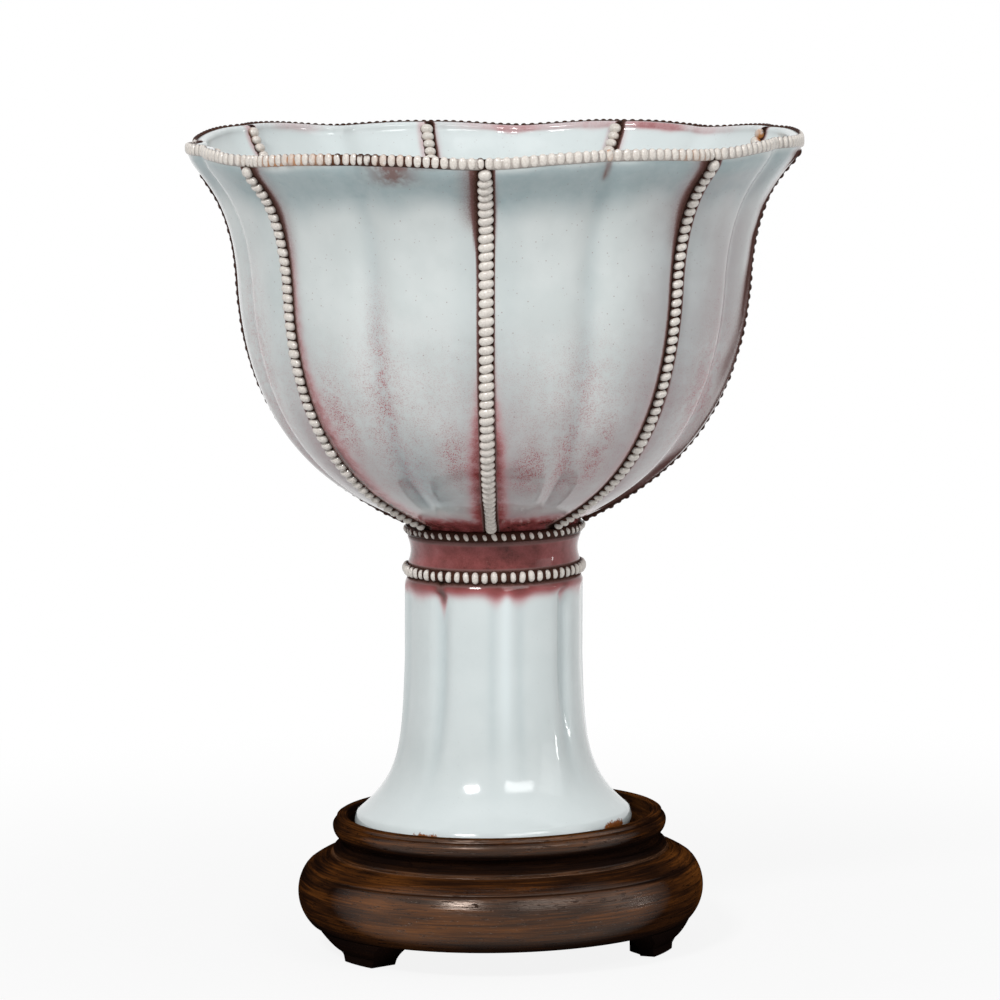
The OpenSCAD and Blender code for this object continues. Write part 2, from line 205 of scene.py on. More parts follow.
# Mesh helpers
def add_mesh(name, points, faces, material, masks):
    mesh = bpy.data.meshes.new(name)
    mesh.from_pydata((np.asarray(points) * MM).tolist(), [], faces)
    mesh.polygons.foreach_set("use_smooth", [True] * len(mesh.polygons))
    for key, values in masks.items():
        layer = mesh.attributes.new(key, "FLOAT", "POINT")
        layer.data.foreach_set("value", np.asarray(values, np.float32).ravel())
    mesh.materials.append(material)
    mesh.update()
    piece = bpy.data.objects.new(name, mesh)
    bpy.context.scene.collection.objects.link(piece)
    return piece


def join_masks(rows):
    return {key: np.concatenate([row[key] for row in rows]) for key in rows[0]}


def grid_faces(rows, columns, closed_rows=False):
    """Quads of a grid whose columns close into a ring."""
    i, j = np.meshgrid(np.arange(rows if closed_rows else rows - 1), np.arange(columns), indexing="ij")
    low, high, right = i * columns, (i + 1) % rows * columns, (j + 1) % columns
    return np.stack([low + j, low + right, high + right, high + j], axis=-1).reshape(-1, 4).tolist()


def fan(ring, centre):
    return [[ring[j], ring[(j + 1) % len(ring)], centre] for j in range(len(ring))]


def capped_faces(rows, columns):
    """The grid's quads, and fans that close its ends on two points added after it."""
    end = rows * columns
    first = [face[::-1] for face in fan(range(columns), end)]
    return grid_faces(rows, columns) + first + fan(range(end - columns, end), end + 1)


def ball(segments, rings, fullness):
    """A unit ball, fuller than a sphere, with its poles on the second axis."""
    points = [[0.0, -1.0, 0.0]]
    for i in range(1, rings):
        v = math.pi * i / rings
        for j in range(segments):
            u = 2 * math.pi * j / segments
            points.append([math.sin(v) * math.sin(u), -math.cos(v), math.sin(v) * math.cos(u)])
    points.append([0.0, 1.0, 0.0])
    last = len(points) - 1
    faces = [[0, 1 + (j + 1) % segments, 1 + j] for j in range(segments)]
    for i in range(rings - 2):
        for j in range(segments):
            a, b = 1 + i * segments + j, 1 + i * segments + (j + 1) % segments
            faces.append([a, b, b + segments, a + segments])
    first = 1 + (rings - 2) * segments
    faces += [[last, first + j, first + (j + 1) % segments] for j in range(segments)]
    points = np.array(points)
    return np.sign(points) * np.abs(points) ** fullness, faces


BALL_POINTS, BALL_FACES = ball(BALL_SEGMENTS, BALL_RINGS, BALL_FULLNESS)


class Beads:
    """A row of oval beads on a low ridge, gathered into one mesh with masks for the glaze."""

    def __init__(self):
        self.points, self.faces = [], []
        self.masks = {"lift": [], "tone": [], "stain": []}
        self.count = 0

    def put(self, points, faces, lift, tone, stain):
        self.points.append(points)
        self.faces += [[v + self.count for v in face] for face in faces]
        n = len(points)
        self.count += n
        for key, value in (("lift", lift), ("tone", tone), ("stain", stain)):
            self.masks[key].append(np.broadcast_to(np.asarray(value, float), (n,)))

    def bead(self, centre, across, along, out, half, lean, tone, stain=0.0, low=0.0):
        """One bead: half gives its half sizes across, along and out of the wall, lean turns it."""
        c, s = math.cos(math.radians(lean)), math.sin(math.radians(lean))
        side, length = half[0] * (c * across + s * along), half[1] * (c * along - s * across)
        points = centre + BALL_POINTS @ np.array([side, length, half[2] * out])
        self.put(points, BALL_FACES, low + (1 - low) * (BALL_POINTS[:, 2] + 1) / 2, tone, stain)

    def ridge(self, path, across, out, half_w, half_h, tone, closed, lift=0.0, stain=0.0):
        """The low ridge of glaze that the beads stand in, along a path of points."""
        u = (2 * np.pi * np.arange(RIDGE_SIDES) / RIDGE_SIDES)[None, :, None]
        section = half_w * np.sin(u) * across[:, None, :] + half_h * np.cos(u) * out[:, None, :]
        points = (path[:, None, :] + section).reshape(-1, 3)
        rows = len(path)
        faces = grid_faces(rows, RIDGE_SIDES, closed)
        if not closed:
            faces.append(list(range(RIDGE_SIDES))[::-1])
            faces.append([(rows - 1) * RIDGE_SIDES + j for j in range(RIDGE_SIDES)])
        looks = (np.repeat(np.broadcast_to(v, (rows,)), RIDGE_SIDES) for v in (lift, tone, stain))
        self.put(points, faces, *looks)

    def make(self, name):
        return add_mesh(name, np.concatenate(self.points), self.faces, BEAD_GLAZE,
                        {key: np.concatenate(values) for key, values in self.masks.items()})


# Node helpers
class Nodes:
    def __init__(self, name):
        self.material = bpy.data.materials.new(name)
        self.material.use_nodes = True
        self.tree = self.material.node_tree
        self.shader = self.tree.nodes["Principled BSDF"]
        self.mm = self.vector("MULTIPLY", self.add("TexCoord").outputs["Object"], [1 / MM] * 3)

    def add(self, kind):
        return self.tree.nodes.new("ShaderNode" + kind)

    def feed(self, socket, value):
        if isinstance(value, bpy.types.NodeSocket):
            self.tree.links.new(value, socket)
        else:
            socket.default_value = value

    def combine(self, kind, operation, a, b):
        node = self.add(kind)
        node.operation = operation
        self.feed(node.inputs[0], a)
        self.feed(node.inputs[1], b)
        return node

    def vector(self, operation, a, b):
        return self.combine("VectorMath", operation, a, b).outputs[0]

    def math(self, operation, a, b, clamp=False):
        node = self.combine("Math", operation, a, b)
        node.use_clamp = clamp
        return node.outputs[0]

    def times(self, a, b):
        return self.math("MULTIPLY", a, b)

    def plus(self, a, b):
        return self.math("ADD", a, b)

    def about_half(self, value, share):
        """Moves a noise from round a half to round 0 and scales it."""
        return self.times(self.plus(value, -0.5), share)

    def span(self, value, low, high, to_low=0.0, to_high=1.0):
        """A smooth step of value from low to high."""
        node = self.add("MapRange")
        node.interpolation_type = "SMOOTHSTEP"
        self.feed(node.inputs["Value"], value)
        numbers = {"From Min": low, "From Max": high, "To Min": to_low, "To Max": to_high}
        for key, number in numbers.items():
            node.inputs[key].default_value = number
        return node.outputs["Result"]

    def mask(self, name):
        node = self.add("Attribute")
        node.attribute_name = name
        return node.outputs["Fac"]

    def slant(self):
        """0 where a surface faces the viewer, 1 where it turns away; for gloss alone."""
        return self.add("LayerWeight").outputs["Facing"]

    def noise(self, scale, detail=2.0, roughness=0.5, vector=None, distortion=0.0):
        node = self.add("TexNoise")
        self.feed(node.inputs["Vector"], vector or self.mm)
        numbers = {"Scale": scale, "Detail": detail, "Roughness": roughness, "Distortion": distortion}
        for key, number in numbers.items():
            node.inputs[key].default_value = number
        return node.outputs["Fac"]

    def specks(self, scale, size, share):
        """Scattered specks on the given share of the points of a cell pattern."""
        node = self.add("TexVoronoi")
        self.feed(node.inputs["Vector"], self.mm)
        node.inputs["Scale"].default_value = scale
        split = self.add("SeparateColor")
        self.tree.links.new(node.outputs["Color"], split.inputs["Color"])
        chosen = self.span(split.outputs["Red"], 1 - share, 1 - share + 0.02)
        return self.times(self.span(node.outputs["Distance"], size, size * 0.5), chosen)

    def mix(self, factor, a, b):
        node = self.add("Mix")
        node.data_type = "RGBA"
        self.feed(node.inputs["Factor"], factor)
        self.feed(node.inputs[6], a)
        self.feed(node.inputs[7], b)
        return node.outputs[2]

    def ramp(self, factor, stops):
        node = self.add("ValToRGB")
        band = node.color_ramp
        while len(band.elements) < len(stops):
            band.elements.new(0.5)
        for element, (place, colour) in zip(band.elements, stops):
            element.position = place
            element.color = colour
        self.feed(node.inputs["Fac"], factor)
        return node.outputs["Color"]

    def bump(self, height, strength, distance):
        node = self.add("Bump")
        node.inputs["Strength"].default_value = strength
        node.inputs["Distance"].default_value = distance
        self.feed(node.inputs["Height"], height)
        self.tree.links.new(node.outputs["Normal"], self.shader.inputs["Normal"])

    def set(self, **values):
        for key, value in values.items():
            self.feed(self.shader.inputs[key.replace("_", " ")], value)


def rgb(red, green, blue):
    """Linear colour of the sRGB values that a viewer sees."""
    def linear(v):
        v /= 255
        return v / 12.92 if v <= 0.04045 else ((v + 0.055) / 1.055) ** 2.4
    return (linear(red), linear(green), linear(blue), 1.0)


def grey(level):
    return (level, level, level, 1.0)


# Colours of the glaze
PALE, PALE_GREY = rgb(213, 219, 218), rgb(205, 212, 211)
POOLED_AND_SHADED, THIN = rgb(157, 174, 177), rgb(225, 235, 236)
STAINED, WASHED, BLUSHED = rgb(118, 92, 88), rgb(172, 154, 156), rgb(168, 86, 92)
RUST_DARK, RUST_LIGHT = rgb(86, 44, 16), rgb(168, 96, 38)
IRON_SPECK, OLIVE_SPECK = rgb(140, 112, 110), rgb(126, 112, 52)
RED_STOPS = [(0.0, rgb(206, 170, 172)), (0.35, rgb(188, 124, 128)), (0.68, rgb(146, 74, 74)),
             (0.88, rgb(114, 56, 54)), (1.0, rgb(66, 33, 29))]
EDGE_STOPS = [(0.1, rgb(132, 98, 96)), (0.4, rgb(114, 84, 81)), (0.74, rgb(78, 54, 47)),
              (1.0, rgb(38, 25, 20))]
GLAZE_IOR = 1.52

# Colours of the beads and the slip, and how bare a bead is at each height
CREAM, CREAM_GREY = rgb(226, 220, 212), rgb(208, 200, 192)
GAP_DARK, GAP_BROWN = rgb(38, 25, 21), rgb(82, 52, 42)
ORANGE, ORANGE_PALE = rgb(150, 84, 34), rgb(196, 140, 84)
BARE_STOPS = [(0.0, grey(0)), (0.46, grey(0.02)), (0.62, grey(0.5)), (0.76, grey(1))]
SLIP_PALE, SLIP_DARK = rgb(150, 100, 92), rgb(112, 66, 62)

# Colours of the wood
GRAIN_STOPS = [(0.42, rgb(27, 15, 10)), (0.49, rgb(48, 27, 14)), (0.55, rgb(76, 43, 18)),
               (0.63, rgb(104, 61, 25))]
PORE, WOOD_PAINTED_SHADE, WOOD_PAINTED_HIGHLIGHT = rgb(24, 14, 11), rgb(20, 13, 11), rgb(150, 112, 86)
WOOD_SHEEN = (1.0, 0.8, 0.68, 1.0)


def glaze_material():
    n = Nodes("porcelain_glaze")
    slow = n.noise(0.11, 3.0)
    cloud = n.noise(0.45, 3.0, 0.6)
    fine = n.noise(4.2, 2.0, 0.6)
    speck = n.mask("speck")
    colour = n.mix(n.span(slow, 0.35, 0.65), PALE, PALE_GREY)
    pool = n.math("MULTIPLY", n.mask("pool"), n.span(cloud, 0.2, 0.8, 0.88, 1.08), clamp=True)
    # the pooled colour also stands for painted shadow under the flare and painted shade on the right
    # panels
    colour = n.mix(pool, colour, POOLED_AND_SHADED)
    colour = n.mix(n.mask("thin"), colour, THIN)
    stain = n.math("MULTIPLY", n.mask("stain"), n.span(cloud, 0.3, 0.6, 0.4, 1.2), clamp=True)
    colour = n.mix(stain, colour, STAINED)
    colour = n.mix(n.times(n.mask("wash"), n.span(slow, 0.3, 0.7, 0.6, 1.2)), colour, WASHED)
    blush = n.times(n.mask("blush"), n.span(cloud, 0.3, 0.6, 0.4, 1.35))
    dots = n.plus(n.times(n.specks(4.2, 0.5, 0.75), 0.8), n.span(fine, 0.4, 0.65, 0.16, 0.42))
    colour = n.mix(n.math("MULTIPLY", blush, dots, clamp=True), colour, BLUSHED)

    patchy = n.plus(n.span(cloud, 0.25, 0.75, -0.22, 0.2), n.span(fine, 0.3, 0.7, -0.09, 0.09))
    patchy = n.plus(n.times(speck, patchy), n.span(slow, 0.25, 0.75, -0.12, 0.1))
    red_mask = n.mask("red")
    red = n.math("ADD", red_mask, n.times(red_mask, patchy), clamp=True)
    colour = n.mix(n.span(red, 0.0, 0.6), colour, n.ramp(red, RED_STOPS))
    # the edge mask holds the dark glaze beside the ribs, and also painted shade beside them and round
    # the collar's bead rings
    edge_mask = n.mask("edge")
    edge = n.plus(edge_mask, n.times(edge_mask, n.span(fine, 0.3, 0.7, -0.16, 0.12)))
    colour = n.mix(n.span(edge, 0.0, 0.4), colour, n.ramp(edge, EDGE_STOPS))

    rust_mask = n.mask("rust")
    ragged = n.plus(n.about_half(n.noise(1.3, 3.0, 0.6), 1.6), n.about_half(fine, 0.5))
    rust = n.times(n.span(n.plus(rust_mask, ragged), 0.4, 0.75), n.span(rust_mask, 0.0, 0.25))
    colour = n.mix(rust, colour, n.mix(fine, RUST_DARK, RUST_LIGHT))
    iron = n.times(n.times(n.specks(1.2, 0.16, 0.55), speck), n.span(cloud, 0.35, 0.65, 0.2, 0.7))
    colour = n.mix(iron, colour, IRON_SPECK)
    colour = n.mix(n.times(n.times(n.specks(0.1, 0.035, 0.3), speck), 0.8), colour, OLIVE_SPECK)

    roughness = n.plus(n.span(cloud, 0.2, 0.8, 0.07, 0.13), n.times(rust, 0.4))
    gloss = n.times(n.span(red, 0.4, 0.9, 1.0, 0.4), n.span(rust, 0.2, 0.7, 1.0, 0.2))
    gloss = n.times(n.span(edge, 0.1, 0.5, 0.5, 0.0), gloss)
    n.set(Base_Color=colour, Roughness=roughness, Specular_IOR_Level=gloss, IOR=GLAZE_IOR)
    n.bump(n.plus(slow, n.times(cloud, 0.12)), 0.12, 0.0012)
    return n.material


def bead_material():
    n = Nodes("bead_glaze")
    cloud = n.noise(0.6, 3.0, 0.6)
    fine = n.noise(3.2, 2.0)
    lift = n.mask("lift")
    bare = n.ramp(n.plus(lift, n.about_half(cloud, 0.22)), BARE_STOPS)
    crest = n.plus(lift, -0.85)
    uneven = n.plus(n.times(crest, 1.5), n.about_half(n.noise(1.1, 1.0), 0.8))
    shown = n.times(bare, n.span(n.plus(n.mask("tone"), uneven), 0.2, 0.6))
    cream = n.mix(n.span(fine, 0.3, 0.7), CREAM, CREAM_GREY)
    colour = n.mix(shown, n.mix(cloud, GAP_DARK, GAP_BROWN), cream)
    stain = n.times(n.span(cloud, 0.35, 0.6), n.span(crest, 0.13, -0.1, 0.35, 1.0))
    stain = n.times(n.mask("stain"), stain)
    colour = n.mix(stain, colour, n.mix(fine, ORANGE, ORANGE_PALE))
    n.set(Base_Color=colour, Roughness=n.span(cloud, 0.2, 0.8, 0.1, 0.2))
    n.set(Specular_IOR_Level=n.span(shown, 0.0, 0.6, 0.02, 0.5), IOR=GLAZE_IOR)
    n.bump(fine, 0.05, 0.0004)
    return n.material


def slip_material():
    n = Nodes("clay_slip")
    cloud = n.noise(0.5, 4.0, 0.6)
    n.set(Base_Color=n.mix(cloud, SLIP_PALE, SLIP_DARK), Roughness=n.span(cloud, 0.2, 0.8, 0.3, 0.5))
    n.bump(cloud, 0.2, 0.0006)
    return n.material


def wood_material():
    """Grain that runs round the turned stand, with dark pores and a soft polish, painted shade in its
    hollows and underneath, a painted highlight along the step, and broad grain placed to paint the front
    lighter than the sides.
    """
    n = Nodes("dark_hardwood")
    height = n.add("SeparateXYZ")
    n.feed(height.inputs["Vector"], n.mm)
    place = n.add("CombineXYZ")
    for key, value in (("X", n.mask("around")), ("Y", n.mask("radius")), ("Z", height.outputs["Z"])):
        n.feed(place.inputs[key], value)
    along = n.vector("MULTIPLY", place.outputs["Vector"], (0.045, 1.0, 1.0))
    long_pores = n.vector("MULTIPLY", place.outputs["Vector"], (0.2, 1.0, 1.0))
    # the broad grain is shifted so that it is light at the front middle and dark at the sides: real
    # grain variation placed as painted light
    broad_lit_front = n.vector("ADD", n.vector("MULTIPLY", n.mm, (0.5, 1.0, 1.0)), (180.0, 0.0, 0.0))
    broad = n.noise(0.06, 2.0, 0.5, broad_lit_front)
    band = n.noise(0.5, 3.0, 0.55, along, 0.3)
    fibre = n.noise(3.0, 3.0, 0.6, along)
    pores = n.span(n.noise(2.6, 2.0, 0.6, long_pores), 0.6, 0.7)
    grain = n.plus(n.times(fibre, 0.32), n.plus(n.times(band, 0.3), n.times(broad, 0.38)))
    colour = n.mix(n.times(pores, 0.75), n.ramp(grain, GRAIN_STOPS), PORE)
    # painted shade: the wood is darkened in the neck, the incised line, the recess, under the drum and
    # on the feet
    dark = n.mask("painted_shade")
    colour = n.mix(dark, colour, WOOD_PAINTED_SHADE)
    # painted highlight: a pale line along the lower edge of the step ring
    wear_and_highlight = n.times(n.mask("wear_and_highlight"), n.span(fibre, 0.4, 0.6, 0.3, 1.0))
    colour = n.mix(wear_and_highlight, colour, WOOD_PAINTED_HIGHLIGHT)
    matt = n.plus(n.times(pores, 0.3), n.times(dark, 0.3))
    gloss = n.times(n.span(dark, 0.1, 0.8, 1.0, 0.0), n.span(n.slant(), 0.2, 0.46, 0.4, 0.0))
    n.set(Base_Color=colour, Roughness=n.plus(n.span(band, 0.2, 0.8, 0.2, 0.29), matt))
    n.set(Specular_IOR_Level=gloss, Specular_Tint=WOOD_SHEEN)
    n.bump(n.plus(n.times(pores, -1.0), n.times(fibre, 0.35)), 0.55, 0.0003)
    return n.material


GLAZE, BEAD_GLAZE, SLIP, WOOD = glaze_material(), bead_material(), slip_material(), wood_material()


# Glaze beside each outer rib, for its left side and then its right side: widths in mm of the dark glaze,
# then of the red glaze, at the top, the middle and the bottom of the rib.
FLANKS = [
    (((0.3, 0.2, 0.3), (0.0, 0.0, 0.3)), ((3.2, 1.2, 0.7), (0.3, 1.0, 2.4))),
    (((1.6, 0.25, 0.22), (0.2, 0.15, 1.3)), ((0.5, 0.25, 0.2), (0.3, 0.15, 1.2))),
    (((2.9, 0.9, 1.1), (0.3, 0.3, 0.7)), ((0.5, 0.4, 0.5), (0.0, 0.0, 0.4))),
    (((2.4, 2.4, 2.0), (0.3, 0.3, 1.0)), ((2.2, 2.2, 2.0), (0.6, 0.6, 1.4))),
    (((1.4, 0.5, 0.5), (0.3, 0.2, 1.2)), ((2.6, 0.8, 0.6), (0.3, 0.3, 1.2))),
    (((2.2, 0.8, 0.6), (0.3, 0.3, 1.2)), ((0.7, 0.4, 0.5), (0.2, 0.2, 1.3))),
    (((0.7, 0.4, 0.5), (0.2, 0.2, 1.1)), ((2.8, 1.0, 0.7), (0.3, 0.3, 1.6))),
    (((1.8, 1.0, 0.9), (0.3, 0.3, 1.2)), ((1.2, 0.6, 0.5), (0.2, 0.2, 0.6))),
]
INNER_FLANKS = [(((0.5, 0.35, 0.2), (0.5, 0.3, 0.5)), ((0.0, 0.0, 0.0), (0.5, 0.2, 0.4)))] * RIBS
BEAD_HALF_W, FLANK_REACH = 1.1, 20

# Red blushes low on the bowl: angle, width, middle height, spread and strength.
BLUSHES = [
    (-42, 6, 0.68, 0.14, 1.0), (-27, 3, 0.76, 0.2, 0.9), (-11, 5, 0.56, 0.14, 0.9),
    (10, 6, 0.5, 0.14, 1.0), (20, 4, 0.52, 0.22, 1.0), (29, 4, 0.55, 0.16, 1.0),
    (62, 9, 0.72, 0.2, 1.0), (108, 8, 0.6, 0.2, 0.8), (150, 7, 0.55, 0.2, 0.9),
    (196, 6, 0.62, 0.2, 0.8), (240, 8, 0.6, 0.2, 0.8), (-70, 7, 0.8, 0.25, 0.9),
]
POOL_AT = -24
GLAZE_MASKS = ("edge", "red", "pool", "blush", "wash", "stain", "rust", "thin", "speck")


def mask_row(a, **given):
    """All the glaze's masks on one ring, 0 where none is given."""
    return {key: given.get(key, 0.0) + 0 * a for key in GLAZE_MASKS}


def by_height(t, top, middle, bottom):
    upper = (top - middle) * smooth((t - 1.05) / 0.4)
    return middle + upper + (bottom - middle) * smooth((0.95 - t) / 0.4)


def mm_past(a, r, at):
    return np.radians(turn(a, at)) * r


def nearest(a, r, angles):
    return np.min([np.abs(mm_past(a, r, at)) for at in angles], axis=0)


def flank_masks(t, a, r, angles, flanks):
    """Dark and red glaze on both sides of the ribs at the given angles, and a soft halo of painted shade
    beside the wider dark bands.
    """
    edge, red = 0 * a, 0 * a
    for at, sides in zip(angles, flanks):
        d = mm_past(a, r, at)
        away = np.maximum(np.abs(d) - BEAD_HALF_W, 0)
        for sign, (darks, reds) in zip((-1, 1), sides):
            here = (d * sign >= 0) & (np.abs(d) < FLANK_REACH)
            dark_w, red_w = by_height(t, *darks), by_height(t, *reds)
            dark = np.minimum(3 * dark_w, 0.8) * (1 - smooth(away / (1.5 * dark_w + 0.1)))
            dark = dark + 0.25 * (dark_w > 0) * (1 - smooth(away / 0.6))
            # a wide soft halo of painted shade beside the wider dark bands
            rib_shade_halo = (1 - smooth(away / (2.0 * dark_w + 3.5))) ** 1.5
            rib_shade_halo = 0.3 * smooth((dark_w - 0.6) / 1.0) * rib_shade_halo
            edge = np.maximum(edge, here * np.maximum(dark, rib_shade_halo))
            tint = np.minimum(red_w / 1.6, 0.95) * bell(away, dark_w + 1.5 * red_w + 0.05)
            red = np.maximum(red, here * tint)
    return edge, red


def inner_masks(t, a, r):
    """The glaze inside the bowl, reddened along the far rim."""
    edge, red = flank_masks(t, a, r, GROOVE_ANGLES, INNER_FLANKS)
    off_floor = smooth((r - 10.5) / 3.0)
    glow = 0.1 + 0.6 * hollow(a, 146, 20) + 0.5 * hollow(a, 178, 10) + 0.3 * hollow(a, 225, 8)
    sway = waves(a, (0.03, 23, 0), (0.02, 41, 50))
    red = np.maximum(red * off_floor, 0.7 * glow * smooth((t + sway - 1.66) / 0.36) ** 3)
    pool = 0.05 + 0.5 * smooth((0.7 - t) / 0.6)
    blush = 0.25 * window(t, 0.1, 0.4, 0.7, 1.0)
    thin = 0.55 * smooth((t - 1.1) / 0.5)
    return mask_row(a, edge=edge * off_floor, red=red, pool=pool, blush=blush, thin=thin, speck=0.5)


def outer_masks(t, a, r):
    """The glaze outside the bowl: t runs from 0 at the base to 2 at the rim."""
    to_groove, to_rib = nearest(a, r, GROOVE_ANGLES), nearest(a, r, RIB_ANGLES)
    edge, red = flank_masks(t, a, r, RIB_ANGLES, FLANKS)

    # a dark ragged band before the rib at the right, and red at the base
    before = -mm_past(a, r, RIB_ANGLES[3])
    ragged = before + 1.1 * np.sin(5 * t + 1) + 0.6 * np.sin(13 * t) + 0.3 * np.sin(37 * t)
    band = window(before, -0.5, 0.5, 30.0, 31.0) * window(t, 0.02, 0.2, 1.85, 1.98)
    band = band * (1 - smooth((ragged - 7.5) / 6.0))
    edge = np.maximum(edge, band * (0.56 + 0.1 * np.sin(7 * t) + 0.08 * np.sin(0.9 * before + 11 * t)))
    red = np.maximum(red, 0.84 * (1 - smooth((t - 0.02) / 0.36)) ** 2.8)

    # blue-grey pools in the grooves, beside the ribs and in one patch; under the flare the band is
    # partly pooled glaze and partly painted shadow of the flared rim, and the right panels get painted
    # shade
    front = turn(a, 0)
    # painted shade on the panels at the right, which turn away from the light
    turned = window(front, 27, 37, 62, 76) * window(t, 0.45, 0.8, 1.55, 1.8)
    sway = waves(a, (0.05, 7, 30), (0.035, 17, 80), (0.02, 31, 0))
    pool = 0.3 * bell(to_groove, 1.5) * window(t, 0.15, 0.4, 1.75, 2.0)
    # under the flare: partly pooled glaze, partly painted shadow cast by the rim
    pool += 0.9 * window(t + 0.7 * sway, 1.3, 1.6, 1.85, 2.0) + 0.2 * bell(to_rib - 3.0, 3.0)
    pool += 0.85 * hollow(a, POOL_AT, 9) * window(t, 0.2, 0.32, 0.45, 0.75) + 0.24 * turned

    # red blushes and a mauve wash, with painted shade on the right panels added to the wash
    blush = 0.55 * window(t, 0.25, 0.45, 0.75, 1.0) * (0.4 + 0.6 * bell(to_groove, 4.0))
    for at, width, middle, spread, strength in BLUSHES:
        blush = np.maximum(blush, strength * hollow(a, at, width) * bell(t - middle, spread))
    wash = 0.45 * (1 - smooth((t - 0.4) / 0.45))
    wash = wash + 0.35 * bell(to_rib, 6.0) * (1 - smooth((t - 0.6) / 0.4))
    wash = np.maximum(wash, 0.22 * hollow(a, 68, 14) * window(t, 0.3, 0.6, 1.2, 1.6))
    # painted shade on the right panels, added to the wash
    wash = wash * (1 - 0.9 * hollow(a, POOL_AT, 11)) + 0.3 * turned

    # brown stains under the rim
    stain = 0.9 * hollow(a, -19.0, 4.0) * window(t, 1.6, 1.76, 1.88, 1.99)
    stain += (0.45 * hollow(a, -42, 7) + 0.7 * hollow(a, -17, 8)) * window(t, 1.86, 1.96, 2.1, 2.2)
    stain += 0.9 * hollow(a, 20.8 + 1.2 * (t - 1.8), 0.55) * window(t, 1.62, 1.76, 1.98, 2.2)
    return mask_row(a, edge=edge, red=red, pool=np.clip(pool, 0, 0.95), blush=blush, wash=wash,
                    stain=np.clip(stain, 0, 1), thin=0.6 * smooth((t - 1.93) / 0.06), speck=1.0)


LIP_RISE = 0.85
LIP_SHARES = (0.01, 0.04, 0.09, 0.18, 0.34, 0.5, 0.66, 0.82, 0.91, 0.96, 0.99)
FLOOR_SHARES = (0.75, 0.5, 0.25)


def make_bowl():
    a = 360.0 * np.arange(BOWL_COLUMNS) / BOWL_COLUMNS
    level = np.zeros(BOWL_COLUMNS)
    rings, masks = [], []

    def ring(r, z, found):
        rings.append(cup_point(r, a, z))
        masks.append(found)

    def wall_ring(t, inward, masks_of, rise=0.0):
        r, z = wall_place(level + t, a, inward)
        ring(r, z + rise, masks_of(level + t, a, r))

    ring(level + COLLAR_R, level + BOWL_Z, outer_masks(level, a, level + COLLAR_R))
    for t in np.linspace(0, 2, BOWL_ROWS):
        wall_ring(t, 0.0, outer_masks)
    for share in LIP_SHARES:
        rise = LIP_RISE * math.sqrt(1 - abs(2 * share - 1) ** 3)
        wall_ring(2.0, WALL * share, inner_masks if share > 0.5 else outer_masks, rise)
    for t in np.linspace(2, 0, BOWL_INNER_ROWS):
        wall_ring(t, WALL, inner_masks)
    floor_r, floor_z = (float(v) for v in wall_place(np.array(0.0), np.array(0.0), WALL))
    for share in FLOOR_SHARES:
        r = level + floor_r * share
        ring(r, level + floor_z - FLOOR_DIP * smooth((1 - share) / 0.5), inner_masks(level, a, r))
    ends = np.array([cup_point(0.0, 0.0, BOWL_Z), cup_point(0.0, 0.0, floor_z - FLOOR_DIP)])
    values = {key: np.concatenate([v, v[[0, -1]]]) for key, v in join_masks(masks).items()}
    faces = capped_faces(len(rings), BOWL_COLUMNS)
    return add_mesh("bowl_glazed", np.concatenate(rings + [ends]), faces, GLAZE, values)


# The stem, from the foot up
FOOT_ROUND = FOOT_EDGE_H / 2
FOOT_RING_R = FOOT_R - FOOT_ROUND
SHAFT_TOP_Z = RING_Z - 3 * RING_BEAD_R
COLLAR_LOW, COLLAR_HIGH = RING_Z + RING_BEAD_R, JOINT_Z - 1.5 * RING_BEAD_R
LOBE_TURN = 360 / STEM_LOBES
CLEFT_TURN = STEM_TURN + LOBE_TURN / 2

# Runs of red glaze below the collar: angle, width and length. Rust on the foot: angle, width and height.
DRIPS = [(-37, 3.2, 5.4), (53, 3.6, 2.6), (0, 5.0, 1.3), (8, 3.5, -1.7), (18, 6.0, 1.1), (143, 3.6, 4.4),
         (233, 3.4, 3.2), (98, 4.0, -1.4), (188, 4.0, -1.4)]
RUSTS = [(-29, 7.0, 2.6), (60, 10.0, 2.6), (150, 10.0, 2.6), (236, 7.0, 2.4)]
BORE_RUST = 0.3


def stem_lines(a, first, width=STEM_CLEFT_W):
    return sum(hollow(a, first + k * LOBE_TURN, width) for k in range(STEM_LOBES))


def stem_share(z):
    low = smooth((z - FOOT_EDGE_H) / (FLARE_Z - FOOT_EDGE_H))
    return low * smooth((SHAFT_TOP_Z + RING_BEAD_R - z) / (2 * RING_BEAD_R))


def stem_dent(a, z):
    cleft = STEM_CLEFT * stem_lines(a, CLEFT_TURN)
    return stem_share(z) * (cleft + STEM_RIDGE * (1 - stem_lines(a, STEM_TURN)))


def arc(centre, radius, start, stop, count):
    v = np.radians(np.linspace(start, stop, count))
    return [(centre[0] + radius * math.cos(w), centre[1] + radius * math.sin(w)) for w in v]


